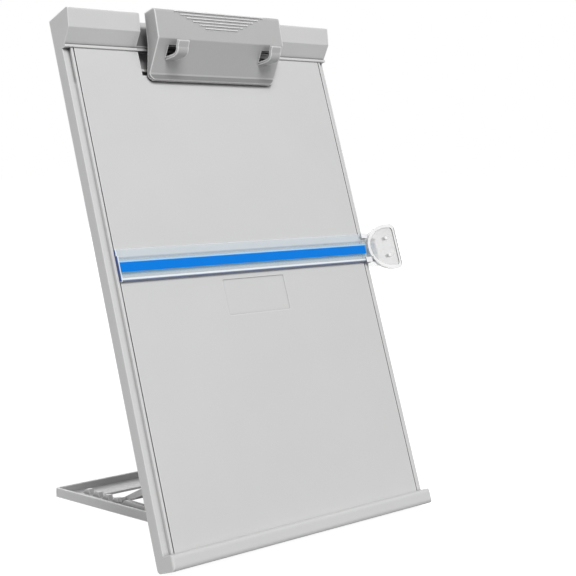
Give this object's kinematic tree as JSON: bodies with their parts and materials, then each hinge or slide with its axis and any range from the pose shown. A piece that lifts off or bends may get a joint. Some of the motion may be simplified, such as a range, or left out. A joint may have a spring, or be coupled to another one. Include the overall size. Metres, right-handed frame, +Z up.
{
  "type": "copy holder",
  "caption": "Leaning document board with a sprung paper clip at the top, a clear sliding line guide, a page ledge and a propped folding base.",
  "frame": {"origin": "middle of the underside of the base's front strip, on the table", "axes": "+Z up, the board's front faces -Y, +X to the right seen from the front"},
  "size_m": [0.2555, 0.2104, 0.3396],
  "materials": {
    "board_grey": "satin moulded plastic",
    "panel_grey": "fine satin grain",
    "cover_grey": "satin moulded plastic",
    "clip_grey": "satin moulded plastic",
    "jaw_black": "matt",
    "clear": "clear and polished",
    "stripe_blue": "printed film",
    "pad_white": "matt",
    "stud_white": "polished",
    "steel": "drawn wire and rod",
    "screw_steel": "zinc plated",
    "plated_sheet": "pressed sheet",
    "base_grey": "satin moulded plastic",
    "prop_grey": "satin moulded plastic"
  },
  "bodies": {
    "base": {"base_frame": "base_grey", "base_pins": "steel"},
    "board": {"board_frame": "board_grey", "front_panel": "panel_grey", "rear_cover": "cover_grey", "cover_screws": "screw_steel", "clip_bracket": "plated_sheet", "bracket_screws": "screw_steel", "clip_pin": "steel", "clip_spring_left": "steel", "clip_spring_right": "steel", "prop_pins": "steel"},
    "prop": {"prop_frame": "prop_grey"},
    "clip": {"clip_lever": "clip_grey", "clip_jaw_strip": "jaw_black"},
    "guide_slider": {"guide_back_jaw": "clear", "guide_back_pad": "pad_white", "guide_pin": "steel", "guide_spring": "steel"},
    "guide_arm": {"guide_ruler": "clear", "guide_stripe": "stripe_blue", "guide_thumb_plate": "clear", "guide_thumb_studs": "stud_white", "guide_front_pad": "pad_white"}
  },
  "joints": [
    {"name": "board_tilt", "type": "hinge", "parent": "base", "child": "board", "pos_m": [0, -0.0175, 0.0032], "axis": [1, 0, 0], "range_deg": [0, 18]},
    {"name": "prop_swing", "type": "hinge", "parent": "board", "child": "prop", "pos_m": [0, 0.00004, 0.05772], "axis": [1, 0, 0], "range_deg": [0, 96.55]},
    {"name": "clip_open", "type": "hinge", "parent": "board", "child": "clip", "pos_m": [0, 0.06328, 0.32065], "axis": [-1, 0, 0], "range_deg": [0, 20], "stiffness_Nm_per_rad": 0.33, "springref_deg": -29.79, "deforming": ["clip_spring_left", "clip_spring_right"]},
    {"name": "guide_slide", "type": "slide", "parent": "board", "child": "guide_slider", "axis": [0, 0.309, 0.9511], "range_m": [-0.157, 0.108]},
    {"name": "guide_lift", "type": "hinge", "parent": "guide_slider", "child": "guide_arm", "pos_m": [0.1172, 0.02703, 0.17639], "axis": [0, 0.309, 0.9511], "range_deg": [0, 24], "stiffness_Nm_per_rad": 0.02, "springref_deg": -28.65, "deforming": ["guide_spring"]}
  ]
}
